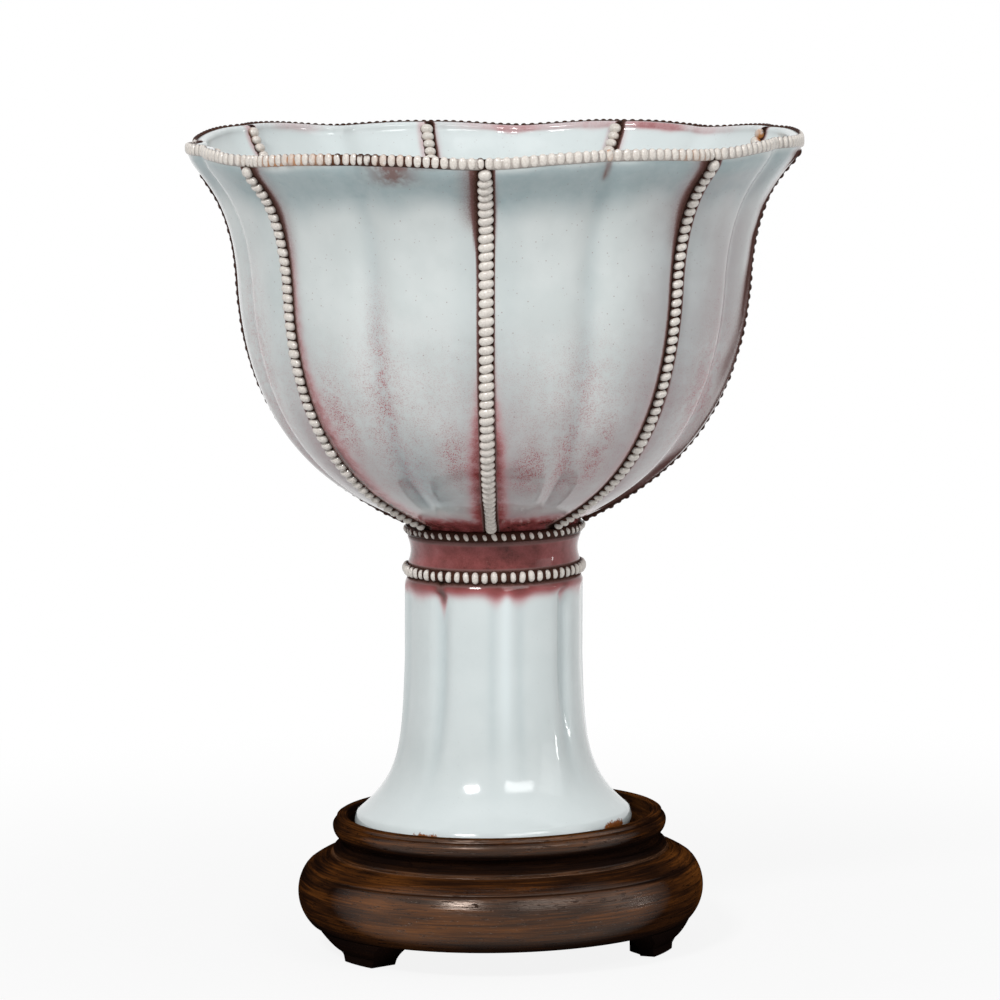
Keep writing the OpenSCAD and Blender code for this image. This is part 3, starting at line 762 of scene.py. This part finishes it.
def stem_outline():
    rows = arc((FOOT_RING_R, FOOT_ROUND), FOOT_ROUND, -90, 30, 14)[:-1]
    flare = np.array([(FOOT_R - FOOT_ROUND / 4, FOOT_EDGE_H),
                      (STEM_R + SWEEP_OUT, FOOT_EDGE_H + SWEEP_LOW),
                      (STEM_R + SWEEP_OUT, FOOT_EDGE_H + SWEEP_HIGH),
                      (STEM_R, FLARE_Z)])
    rows += [tuple(p) for p in bezier(flare, np.linspace(0, 1, 60))]
    rows += [(STEM_R, z) for z in np.linspace(FLARE_Z, SHAFT_TOP_Z, 30)[1:]]
    for share in np.linspace(0, 1, 10)[1:]:
        r = STEM_R + (COLLAR_R - STEM_R) * smooth(share)
        rows.append((r, SHAFT_TOP_Z + 2 * RING_BEAD_R * share))
    rows.append((COLLAR_R, COLLAR_LOW))
    for z in np.linspace(COLLAR_LOW, COLLAR_HIGH, 22)[1:]:
        waist = math.sin(math.pi * (z - COLLAR_LOW) / (COLLAR_HIGH - COLLAR_LOW))
        rows.append((COLLAR_R - (COLLAR_R - WAIST_R) * waist, z))
    rows.append((COLLAR_R, JOINT_Z))
    return rows


def stem_masks(a, z):
    share = stem_share(z)
    if z < RING_Z:
        drip = sum(fall * hollow(a, at, width) for at, width, fall in DRIPS)
        end = RING_Z - 6.4 - drip - waves(a, (0.7, 5, 40), (0.4, 11, 0))
        red = smooth((z - end) / (RING_Z - 0.6 - end)) ** 1.7
    else:
        red = 0.8 + waves(a, (0.08, 3, 100))
    # painted shade round the lower bead ring and under the upper one, drawn with the dark edge colours
    edge = 0.85 * window(z, RING_Z - 2.0, RING_Z - 1.0, RING_Z + 0.9, RING_Z + 1.6)
    edge = edge + 0.75 * smooth((z - (JOINT_Z - 2.0)) / 1.2)
    edge = edge + 0.35 * hollow(a, -37, 3.0) * window(z, 39.5, 42.0, 46, 47)
    clefts = stem_lines(a, CLEFT_TURN, 4.6)
    beside = stem_lines(a, STEM_TURN - 9, 3.4) + stem_lines(a, STEM_TURN + 9, 3.4)
    pool = share * (0.62 * clefts + 0.42 * beside + 0.08) + 0.12 * window(z, 3.0, 9.0, 14.0, 30.0)
    thin = share * (0.45 + 0.55 * stem_lines(a, STEM_TURN, 4.6)) + 0.65 * (1 - smooth((z - 2.0) / 14.0))
    rust = 0 * a
    for at, width, top in RUSTS:
        patch = np.clip(1.7 * hollow(a, at, width) - 0.35, 0, 1)
        rust = np.maximum(rust, patch * (1 - smooth((z - 0.8 * top) / (0.3 * top))))
    return mask_row(a, edge=edge, red=red, pool=np.clip(pool, 0, 0.9), rust=rust,
                    thin=np.clip(thin, 0, 1), speck=0.15 if z < RING_Z else 0.4)


def make_stem():
    a = 360.0 * np.arange(STEM_COLUMNS) / STEM_COLUMNS
    bore_r, ring_r = COLLAR_R - STEM_WALL, FOOT_RING_R - FOOT_RING_W
    rings, masks = [], []
    for r, z in stem_outline():
        rings.append(cup_point(r - stem_dent(a, z), a, z))
        masks.append(stem_masks(a, z))
    for r, z in ((bore_r, JOINT_Z), (bore_r, BORE_Z), (ring_r, FOOT_EDGE_H), (ring_r, 0.0)):
        rings.append(cup_point(r, a, z))
        masks.append(mask_row(a, rust=BORE_RUST))
    faces = grid_faces(len(rings), STEM_COLUMNS, True)
    return add_mesh("stem_glazed", np.concatenate(rings), faces, GLAZE, join_masks(masks))


# Each outer rib's beads: tone, lean in degrees, half width, half length, how far they stand proud of the
# wall at mid-height, and the height of their ridge. Then the same for every inner rib, and its stain.
OUTER_RIBS = [
    (1.0, -8.0, 1.3, 0.78, 0.0, 0.7), (1.0, 16.0, 1.36, 0.86, 0.0, 0.7),
    (0.96, 14.0, 1.14, 0.71, 0.0, 0.7), (0.06, 10.0, 1.2, 0.76, 0.0, 1.1),
    (0.9, 12.0, 1.3, 0.8, 0.0, 0.7), (0.95, -8.0, 1.3, 0.84, 0.0, 0.7),
    (0.9, 12.0, 1.3, 0.8, 0.0, 0.7), (0.05, -10.0, 1.2, 0.76, 0.7, 1.2),
]
INNER_RIB = (0.95, 8.0, 1.1, 0.85, 0.0, 0.7)
INNER_STAINS = [0.1, 0.1, 0.1, 1.0, 0.15, 0.1, 0.2, 0.1]
# Gaps in mm before a row's first bead and after its last, and the size of that last bead.
OUTER_GAPS, INNER_GAPS = (0.8, 1.7), (1.5, 0.5)
LAST_BEAD = (1.15, 0.95, 1.08)
BEAD_OUT, RIDGE_SUNK, RIDGE_W = 1.08, 0.25, 1.0


def wall_frames(t, a, outside):
    """Directions across, along and out of the wall for beads on the line at angle a."""
    across, radial = round_axes(a)
    way, out = profile_way(t), profile_out(t) * (1 if outside else -1)
    along = way[:, :1] * radial + way[:, 1:] * UP
    return np.broadcast_to(across, along.shape), along, out[:, :1] * radial + out[:, 1:] * UP


def rib_row(name, a, outside, look, stain):
    tone, lean, width, length, proud, ridge_h = look
    fine_t = np.linspace(0, 2, RIB_SAMPLES)
    r, z = wall_place(fine_t, np.full(RIB_SAMPLES, a), 0.0 if outside else WALL)
    along = np.concatenate([[0], np.cumsum(np.hypot(np.diff(r), np.diff(z)))])
    low_gap, high_gap = OUTER_GAPS if outside else INNER_GAPS
    run = along[-1] - low_gap - high_gap
    count = math.ceil(run / RIB_PITCH)
    t = np.interp(low_gap + run * np.arange(count + 1) / count, along, fine_t)
    across, way, out = wall_frames(t, a, outside)
    base = cup_point(np.interp(t, fine_t, r), a, np.interp(t, fine_t, z))
    base = base + out * (proud * window(t, 0.5, 0.9, 1.6, 1.8))[:, None]
    beads = Beads()
    for i in range(count + 1):
        size = 1 + jitter(0.1)
        low = smooth((0.55 - t[i]) / 0.4)
        half = (width * size * (1 - 0.26 * low), length * size * (1 - 0.14 * low), BEAD_OUT * size)
        if i == count:
            half = LAST_BEAD
        tilt = lean * (1 - 0.5 * low) + jitter(8)
        beads.bead(base[i], across[i], way[i], out[i], half, tilt, tone * fading(0.07), stain)
    beads.ridge(base - out * RIDGE_SUNK, across, out, RIDGE_W, ridge_h, 1.0, False)
    return beads.make(name)


def make_ribs():
    for k in range(RIBS):
        piece = rib_row(f"outer_rib_beads_{k + 1}", RIB_ANGLES[k], True, OUTER_RIBS[k], 0.0)
        dress(piece, "cup", f"outer_rib_{k + 1}")
        piece = rib_row(f"inner_rib_beads_{k + 1}", GROOVE_ANGLES[k], False, INNER_RIB, INNER_STAINS[k])
        dress(piece, "cup", f"inner_rib_{k + 1}")


# The rim's beads: middle radius, gap at each end of a strip, rise of the beads and of their ridge.
RIM_MID_R, RIM_END_GAP, RIM_BEAD_RISE, RIM_RIDGE_RISE = RIM_R - 0.14, 0.72, 0.18, 0.05
RIM_BEAD = (0.7, 1.0, 0.58)
RIM_RIDGE_W, RIM_RIDGE_H = 0.95, 0.34


def rim_back(a):
    return smooth((np.abs(turn(a, 0)) - 92) / 10)


def make_rim():
    """Upright oval beads all round the rim, cream in front, stained at the left and dark at the back,
    which is partly dark glaze and partly painted shade.
    """
    degree = math.pi * RIM_MID_R / 180
    end_gap = RIM_END_GAP / degree
    for k in range(RIBS):
        beads = Beads()
        start, stop = RIB_ANGLES[k] + end_gap, NEXT_RIB[k] - end_gap
        count = math.ceil((stop - start) * degree / RIM_PITCH)
        for i in range(count + 1):
            a = start + (stop - start) * i / count
            centre = cup_point(RIM_MID_R - dent(a), a, LIP_Z - dip(a) + RIM_BEAD_RISE)
            across, out = round_axes(a)
            wear_and_highlight = hollow(a, -22, 11) + 0.5 * hollow(a, -44, 7)
            stained = (wear_and_highlight + 0.7 * hollow(a, -42, 8) + 0.5 * hollow(a, 38, 4)) * RNG.random() ** 1.6
            stained = min(stained + 0.9 * hollow(a, 21.0, 0.9), 1.0)
            size = 1 + jitter(0.1)
            # beads at the back are made dark: partly dark glaze, partly painted shade
            tone = (1 - 0.93 * rim_back(a)) * fading(0.07) * (1 - 0.6 * (RNG.random() < 0.45 * wear_and_highlight))
            half = (RIM_BEAD[0] * size, RIM_BEAD[1], RIM_BEAD[2] * size)
            low = 0.3 * (1 - hollow(a, -28, 16))
            beads.bead(centre, across, UP, out, half, jitter(6), tone, stained, low)
        a = np.linspace(start, stop, RIM_SAMPLES)
        out = round_axes(a)[1]
        path = cup_point(RIM_MID_R - dent(a), a, LIP_Z - dip(a) + RIM_RIDGE_RISE)
        tan = np.clip(hollow(a, -42, 9) + 0.6 * hollow(a, 39, 5), 0, 1)
        dark = np.clip(hollow(a, -27, 7) + hollow(a, -14, 6), 0, 1)
        # the back of the ridge is made dark too: partly dark glaze, partly painted shade
        tone = 1 - 0.9 * rim_back(a)
        upright = np.broadcast_to(UP, out.shape)
        beads.ridge(path, upright, out, RIM_RIDGE_W, RIM_RIDGE_H, tone, False, 0.64 - 0.25 * dark, tan)
        dress(beads.make(f"rim_beads_{k + 1}"), "cup", f"rim_beading_{k + 1}")


# The collar's two rings of beads: half sizes of a bead, and how far beads and ridge stand out.
COLLAR_BEAD, STEM_BEAD = (0.44, 0.68, 0.74), (0.58, 0.95, 0.86)
RING_BEAD_OUT, RING_RIDGE_OUT, RING_RIDGE_W, RING_RIDGE_H = 0.1, 0.05, 0.9, 0.5


def make_ring(name, node, z, half, lean, tone_at):
    """A ring of beads round the collar."""
    count = math.ceil(2 * math.pi * COLLAR_R / RING_PITCH)
    beads = Beads()
    for i in range(count):
        a = 360 * i / count
        across, out = round_axes(a)
        size = 1 + jitter(0.22)
        centre = cup_point(COLLAR_R + RING_BEAD_OUT, a, z + jitter(0.12))
        tone = tone_at(a) * fading(0.2)
        beads.bead(centre, across, UP, out, [h * size for h in half], lean + jitter(16), tone)
    a = 360 * np.arange(RING_SAMPLES) / RING_SAMPLES
    out = round_axes(a)[1]
    path = cup_point(COLLAR_R + RING_RIDGE_OUT, a, z)
    upright = np.broadcast_to(UP, out.shape)
    beads.ridge(path, upright, out, RING_RIDGE_W, RING_RIDGE_H, 1.0, True)
    dress(beads.make(name), "cup", node)


def dress(piece, body, node):
    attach(piece, body)
    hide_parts(node)


# The turned stand
RECESS_R = FOOT_R + RECESS_ROOM
LIP_R = RECESS_R + LIP_TOP_W
MOULD_R, MOULD_Z = LIP_R + LIP_OUT - LIP_ROUND, STAND_H - LIP_TOP_H - LIP_ROUND
STEP_R, STEP_Z = LIP_R + LIP_OUT - STEP_ROUND, MOULD_Z - LIP_ROUND - NECK_H - STEP_ROUND
DRUM_MID_R = DRUM_R - DRUM_ROUND
LINE_R = RECESS_R + 0.75
CENTRE_R = 0.5


def drum_at(z):
    return DRUM_MID_R + math.sqrt(DRUM_ROUND**2 - (z - DRUM_Z) ** 2)


def drum_angle(z):
    return math.degrees(math.asin((z - DRUM_Z) / DRUM_ROUND))


def level_line(start_r, stop_r, z, count):
    return [(start_r + (stop_r - start_r) * k / count, z) for k in range(1, count + 1)]


def stand_outline():
    """The stand's section from the middle of its underside, up its outside and into the recess."""
    rows = level_line(CENTRE_R, drum_at(FOOT_H) - 0.3, FOOT_H, 8)
    low, high = drum_angle(FOOT_H + 0.2), drum_angle(SCORE_Z - SCORE_ROUND)
    rows += arc((DRUM_MID_R, DRUM_Z), DRUM_ROUND, low, high, 44)
    # the incised line and the shoulder
    score_r = drum_at(SCORE_Z)
    rows += [(score_r - 0.12, SCORE_Z - 0.1), (score_r - 0.2, SCORE_Z), (score_r - 0.16, SCORE_Z + 0.12)]
    first = np.array([score_r - 0.3, SCORE_Z + 0.28])
    middle = np.array([(score_r + STEP_R) / 2 + 0.35, (SCORE_Z + STEP_Z) / 2 + 0.42])
    last = np.array([STEP_R + 1.0, STEP_Z - 0.55])
    for k in np.linspace(0, 1, 14):
        rows.append(tuple((1 - k) ** 2 * first + 2 * k * (1 - k) * middle + k * k * last))
    # the step and the neck
    rows += [(STEP_R + 0.62, STEP_Z - 0.5)]
    rows += arc((STEP_R, STEP_Z), STEP_ROUND, -38, 100, 12)
    rows += [(MOULD_R + 0.12, STEP_Z + STEP_ROUND + 0.08), (MOULD_R, STEP_Z + STEP_ROUND + 0.3)]
    rows += [(MOULD_R, MOULD_Z - LIP_ROUND - 0.25), (MOULD_R + 0.1, MOULD_Z - LIP_ROUND - 0.04)]
    # the lip's moulding, flatter above its middle than below, and the fine line on top
    for x, z in arc((0, 0), LIP_ROUND, -86, 62, 26):
        rows.append((MOULD_R + x, MOULD_Z + 0.45 + z * (0.74 if z > 0 else 1.257)))
    rows += [(LIP_R - 0.25, STAND_H - 0.22), (LIP_R - 0.5, STAND_H - 0.07), (LIP_R - 0.75, STAND_H)]
    rows += [(LINE_R + 0.14, STAND_H), (LINE_R + 0.05, STAND_H - 0.1)]
    rows += [(LINE_R - 0.05, STAND_H - 0.1), (LINE_R - 0.14, STAND_H)]
    # the recess
    rows += [(RECESS_R + 0.25, STAND_H), (RECESS_R + 0.07, STAND_H - 0.06), (RECESS_R, STAND_H - 0.25)]
    rows += [(RECESS_R, SEAT_Z + 0.15), (RECESS_R - 0.15, SEAT_Z)]
    return rows + level_line(RECESS_R - 0.15, CENTRE_R, SEAT_Z, 8)


def around(x, y):
    """How far round the stand a place lies, in mm from its right, alike in front and behind."""
    return DRUM_MID_R * np.abs(np.arctan2(y, x))


def stand_painted_shade(r, z):
    """Painted shade on the wood: how dark it is made in the neck, the incised line, the recess and under
    the drum.
    """
    neck = window(z, STEP_Z - 0.2, STEP_Z + 0.3, MOULD_Z - 1.2, MOULD_Z + 0.2) * (r < LIP_R + 1.2)
    scored = bell(z - SCORE_Z, 0.2) * (r > STEP_R + 1)
    inside = 0.6 * (z >= SEAT_Z - 0.01) * (r <= RECESS_R + 0.01)
    under = 0.8 * (1 - smooth((z - FOOT_H) / 4.0)) * (z < DRUM_Z)
    return max(0.85 * neck, 0.8 * scored, inside, under)


# A painted highlight: a pale line along the lower edge of the step ring.
def stand_painted_highlight(r, z):
    return 0.55 * bell(z - STEP_Z + 0.35, 0.22) * (abs(r - STEP_R - 0.7) < 0.35)


def make_stand():
    rad = 2 * np.pi * np.arange(STAND_COLUMNS) / STAND_COLUMNS
    rings, masks = [], []
    for r, z in stand_outline():
        rings.append(np.stack([STAND_X + r * np.sin(rad), -r * np.cos(rad), 0 * rad + z], axis=-1))
        masks.append({"painted_shade": stand_painted_shade(r, z) + 0 * rad, "wear_and_highlight": stand_painted_highlight(r, z) + 0 * rad,
                      "radius": r + 0 * rad, "around": around(np.sin(rad), -np.cos(rad))})
    # painted shade at the middles of the underside and of the recess
    masks.append({"painted_shade": [0.5, 0.6], "wear_and_highlight": [0.0, 0.0], "radius": [0.0, 0.0], "around": [0.0, 0.0]})
    ends = np.array([[STAND_X, 0.0, FOOT_H], [STAND_X, 0.0, SEAT_Z]])
    faces = capped_faces(len(rings), STAND_COLUMNS)
    return add_mesh("stand_turned", np.concatenate(rings + [ends]), faces, WOOD, join_masks(masks))


def make_pad(k):
    """A bracket foot: the drum's curve carried on down, with ends that sweep up to the drum."""
    half_low, half_top = PAD_W / 2 - 1.5, PAD_W / 2 + PAD_SPREAD
    end = np.linspace(half_low, half_top, PAD_ENDS)
    slices = np.concatenate([-end[::-1], np.linspace(-half_low, half_low, PAD_MIDDLE)[1:-1], end])
    top_r, lift = drum_at(FOOT_H) - 0.05, FOOT_H - PAD_H
    face = np.array([(top_r, FOOT_H), (top_r - 0.75, FOOT_H - 0.55 * lift), (PAD_R + 0.85, PAD_H + 0.5),
                     (PAD_R, PAD_H)])
    curve = bezier(face, np.linspace(0, 1, 20))
    face_z, face_r = np.append(curve[:, 1], 0.0)[::-1], np.append(curve[:, 0], PAD_R)[::-1]
    turned = math.radians(PAD_TURN + 360 * k / PADS)
    c, s = math.cos(turned), math.sin(turned)
    points = []
    for w in slices:
        rise = max(abs(w) - half_low, 0.0) / (half_top - half_low)
        bottom = (FOOT_H - 0.02) * rise**0.62
        front = np.linspace(FOOT_H, bottom, PAD_FACE)
        back_r = PAD_R - PAD_DEEP * (1 - 0.6 * smooth(-w / half_low) - 0.25 * smooth(w / half_low))
        radii = np.concatenate([np.interp(front, face_z, face_r), [back_r, back_r]])
        for r, z in zip(radii, [*front, bottom, FOOT_H]):
            y = -math.sqrt(r * r - w * w)
            points.append([STAND_X + w * c - y * s, w * s + y * c, z])
    n = PAD_FACE + 2
    faces = grid_faces(len(slices), n)
    faces.append(list(range(n))[::-1])
    faces.append([(len(slices) - 1) * n + j for j in range(n)])
    flat = np.array(points)[:, :2] - [STAND_X, 0.0]
    even = np.ones(len(points))
    # the feet are painted almost fully dark, as shade under the drum
    masks = {"painted_shade": 0.95 * even, "wear_and_highlight": 0 * even, "radius": np.hypot(*flat.T),
             "around": around(*flat.T)}
    piece = add_mesh(f"stand_pad_{k + 1}", points, faces, WOOD, masks)
    bevel = piece.modifiers.new("softened_edges", "BEVEL")
    bevel.width, bevel.segments, bevel.limit_method = 0.25 * MM, 2, "ANGLE"
    bevel.angle_limit = math.radians(40)
    return piece


dress(make_bowl(), "cup", "bowl")
dress(make_stem(), "cup", "stem")
make_ribs()
make_rim()
make_ring("collar_beads", "bowl_base_beading", JOINT_Z, COLLAR_BEAD, 28.0,
          lambda a: 0.78 - 0.45 * hollow(a, -60, 25))
make_ring("stem_beads", "stem_beading", RING_Z, STEM_BEAD, 0.0, lambda a: 0.97)
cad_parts["luting_slip"].data.materials.clear()
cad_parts["luting_slip"].data.materials.append(SLIP)
dress(make_stand(), "stand", "stand_body")
for k in range(PADS):
    dress(make_pad(k), "stand", f"stand_foot_{k + 1}")


# Floor, light and camera, in metres and watts
FLOOR_HALF, FLOOR_DROP, FLOOR_GREY, FLOOR_ROUGHNESS = 1.2, 0.0002, 0.72, 0.9
FLOOR_FADE = {"From Min": 0.05, "From Max": 0.25, "To Min": 0.88, "To Max": 1.0}
WORLD_LIGHT, WHITE = 0.15, (1, 1, 1, 1)
AIM = (0, 0, 0.09)
LAMPS = [
    ("key_left", (-0.304, -0.597, 0.613), 0.17, 0.1, 4.3),
    ("key_right", (0.359, -0.597, 0.577), 0.5, 0.17, 1.8),
    ("side_left", (-0.8, -0.3, 0.4), 0.4, 0.6, 0.22),
    ("side_right", (0.8, -0.25, 0.4), 0.4, 0.6, 0.85),
    ("strip_right", (0.8, -0.05, 0.12), 0.035, 0.11, 0.27),
    ("top_softbox", (0.05, 0.1, 0.85), 0.6, 0.5, 0.7),
]
CAMERA_AT, CAMERA_DOWN, CAMERA_ROLL = (-0.00042, -0.9369, 0.1924), 6.97, -1.1
SENSOR_W, LENS = 36.0, 195.84


def add_math(tree, operation, a, b):
    node = tree.nodes.new("ShaderNodeMath")
    node.operation = operation
    tree.links.new(a, node.inputs[0])
    tree.links.new(b, node.inputs[1])
    return node.outputs[0]


def sees_white(tree):
    """1 for the rays that see the background as plain white, 0 for the rays that light the object."""
    kinds = tree.nodes.new("ShaderNodeLightPath").outputs
    seen = add_math(tree, "MAXIMUM", kinds["Is Camera Ray"], kinds["Is Glossy Ray"])
    return add_math(tree, "MAXIMUM", seen, kinds["Is Transmission Ray"])


def blend_into(tree, share, lit, white, output):
    blend = tree.nodes.new("ShaderNodeMixShader")
    tree.links.new(share, blend.inputs["Fac"])
    tree.links.new(lit.outputs[0], blend.inputs[1])
    tree.links.new(white.outputs[0], blend.inputs[2])
    tree.links.new(blend.outputs[0], tree.nodes[output].inputs["Surface"])


def make_floor():
    """A pale floor, seen as white away from the object and a little darker under it."""
    mesh = bpy.data.meshes.new("floor")
    h = FLOOR_HALF
    mesh.from_pydata([(-h, -h, 0), (h, -h, 0), (h, h, 0), (-h, h, 0)], [], [[0, 1, 2, 3]])
    floor = bpy.data.objects.new("floor", mesh)
    floor.location.z = -FLOOR_DROP
    bpy.context.scene.collection.objects.link(floor)
    material = bpy.data.materials.new("pale_floor")
    material.use_nodes = True
    tree = material.node_tree
    shader = tree.nodes["Principled BSDF"]
    shader.inputs["Base Color"].default_value = grey(FLOOR_GREY)
    shader.inputs["Roughness"].default_value = FLOOR_ROUGHNESS
    shader.inputs["Specular IOR Level"].default_value = 0.1
    glow = tree.nodes.new("ShaderNodeEmission")
    glow.inputs["Strength"].default_value = 1.0
    coords, away = tree.nodes.new("ShaderNodeTexCoord"), tree.nodes.new("ShaderNodeVectorMath")
    away.operation = "LENGTH"
    tree.links.new(coords.outputs["Object"], away.inputs[0])
    fade = tree.nodes.new("ShaderNodeMapRange")
    fade.interpolation_type = "SMOOTHSTEP"
    for key, number in FLOOR_FADE.items():
        fade.inputs[key].default_value = number
    tree.links.new(away.outputs["Value"], fade.inputs["Value"])
    share = add_math(tree, "MULTIPLY", sees_white(tree), fade.outputs["Result"])
    blend_into(tree, share, shader, glow, "Material Output")
    mesh.materials.append(material)


def make_world():
    world = bpy.data.worlds.new("studio")
    bpy.context.scene.world = world
    world.use_nodes = True
    tree = world.node_tree
    soft, white = tree.nodes["Background"], tree.nodes.new("ShaderNodeBackground")
    for background, strength in ((soft, WORLD_LIGHT), (white, 1.0)):
        background.inputs["Color"].default_value = WHITE
        background.inputs["Strength"].default_value = strength
    blend_into(tree, sees_white(tree), soft, white, "World Output")


def make_lamp(name, place, width, height, watts):
    light = bpy.data.lights.new(name, "AREA")
    light.shape = "RECTANGLE"
    light.size, light.size_y, light.energy = width, height, watts
    lamp = bpy.data.objects.new(name, light)
    lamp.location = place
    lamp.rotation_euler = (Vector(AIM) - Vector(place)).to_track_quat("-Z", "Y").to_euler()
    bpy.context.scene.collection.objects.link(lamp)


def make_camera():
    camera = bpy.data.cameras.new("camera")
    camera.sensor_width, camera.lens, camera.clip_start = SENSOR_W, LENS, 0.01
    holder = bpy.data.objects.new("camera", camera)
    holder.location = CAMERA_AT
    level = Euler((math.radians(90 - CAMERA_DOWN), 0, 0)).to_matrix()
    holder.rotation_euler = (level @ Matrix.Rotation(math.radians(CAMERA_ROLL), 3, "Z")).to_euler()
    bpy.context.scene.collection.objects.link(holder)
    bpy.context.scene.camera = holder


make_floor()
make_world()
for lamp in LAMPS:
    make_lamp(*lamp)
make_camera()
bpy.context.scene.view_settings.view_transform = "Standard"
